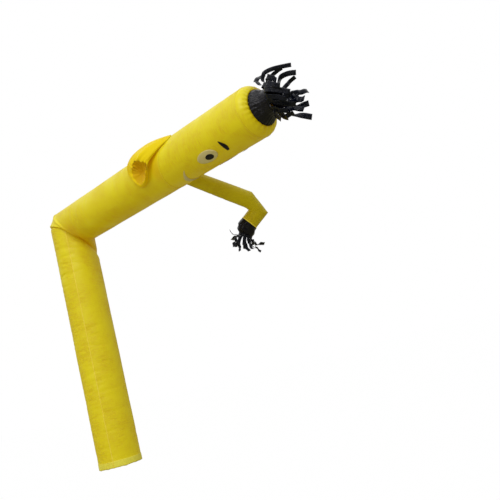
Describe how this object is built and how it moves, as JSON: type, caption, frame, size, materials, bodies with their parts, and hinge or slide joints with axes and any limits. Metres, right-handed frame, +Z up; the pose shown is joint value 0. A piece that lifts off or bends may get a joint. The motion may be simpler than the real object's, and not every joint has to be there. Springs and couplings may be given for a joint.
{
  "type": "inflatable air dancer",
  "caption": "Tall inflatable tube figure of coated nylon, folded at the knee, with a smiling face, drooping sleeves and slit black cloth hair and hands.",
  "frame": {"origin": "centre of the open base sleeve's hem, which lies flat on z = 0", "axes": "+Z up along the leg, +X along the folded-over trunk towards the head, the face looks straight down, the sleeves leave towards +Y and -Y"},
  "size_m": [3.7309, 1.1945, 3.0061],
  "materials": {
    "yellow_nylon": "satin",
    "black_nylon": "satin",
    "tan_patch_cloth": "matte"
  },
  "bodies": {
    "root": {"body_tube": "yellow_nylon", "head_tube": "yellow_nylon", "crown": "yellow_nylon", "far_sleeve": "yellow_nylon", "near_sleeve": "yellow_nylon", "hand_cuff": "black_nylon", "hand_strips": "black_nylon", "hair_collar": "black_nylon", "hair_strips": "black_nylon", "pupil_near": "black_nylon", "pupil_far": "black_nylon", "brow_near": "black_nylon", "brow_far": "black_nylon", "eye_near": "tan_patch_cloth", "eye_far": "tan_patch_cloth", "mouth": "tan_patch_cloth"}
  },
  "joints": []
}
